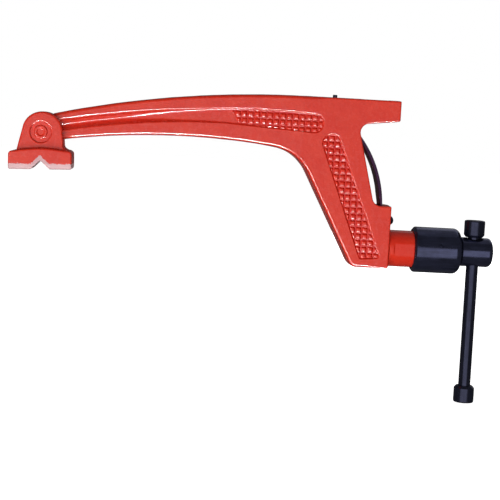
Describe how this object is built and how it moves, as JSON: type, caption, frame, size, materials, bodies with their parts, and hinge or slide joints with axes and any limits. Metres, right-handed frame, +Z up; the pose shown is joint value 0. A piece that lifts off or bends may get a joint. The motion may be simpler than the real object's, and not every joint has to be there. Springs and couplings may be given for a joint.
{
  "type": "lever clamp arm",
  "caption": "Long-reach lever clamp arm with a swivel V pad, a slotted head for a vertical bar, and a thrust screw with a sliding tommy bar.",
  "frame": {"origin": "middle of the toothed seat that bears on the bar's front face, at half the head's depth", "axes": "+X from the work towards the screw's head, along the screw; +Z up along the bar; the arm reaches out along -X"},
  "size_m": [0.3584, 0.036, 0.2234],
  "materials": {
    "red_enamel": "glossy enamel over a forging",
    "black_steel": "satin black oxide",
    "spring_steel": "tempered dark violet brown",
    "bare_steel": "machined, bare"
  },
  "bodies": {
    "frame": {"arm_body": "red_enamel", "rack_shoe": "bare_steel", "shoe_pin": "black_steel", "spring_rivet": "black_steel", "spindle_bush": "red_enamel"},
    "leaf": {"leaf_spring": "spring_steel"},
    "pad": {"swivel_pad": "red_enamel", "pad_rivet": "red_enamel"},
    "foot": {"thrust_button": "bare_steel", "button_ring": "spring_steel"},
    "screw": {"spindle": "black_steel", "guard_sleeve": "black_steel", "sleeve_pin": "black_steel"},
    "tommy": {"tommy_rod": "black_steel", "upper_knob": "black_steel", "lower_knob": "black_steel"}
  },
  "joints": [
    {"name": "pad_swivel", "type": "hinge", "parent": "frame", "child": "pad", "pos_m": [-0.2351, 0, -0.0263], "axis": [0, -1, 0], "range_deg": [-25, 18]},
    {"name": "leaf_flex", "type": "hinge", "parent": "frame", "child": "leaf", "pos_m": [0.01565, 0, -0.07], "axis": [0, 1, 0], "range_deg": [0, 18], "stiffness_Nm_per_rad": 4.4, "deforming": ["leaf_spring"]},
    {"name": "screw_feed", "type": "slide", "parent": "frame", "child": "foot", "axis": [-1, 0, 0], "range_m": [0, 0.0155]},
    {"name": "spindle_turn", "type": "hinge", "parent": "foot", "child": "screw", "pos_m": [0.06, 0, -0.0985], "axis": [-1, 0, 0], "range_deg": [0, 2790.5]},
    {"name": "tommy_slide", "type": "slide", "parent": "screw", "child": "tommy", "axis": [0, 0, 1], "range_m": [0, 0.0889]}
  ],
  "couplings": [
    {"joint": "spindle_turn", "follows": "screw_feed", "rad_per_m": 3141.6}
  ]
}
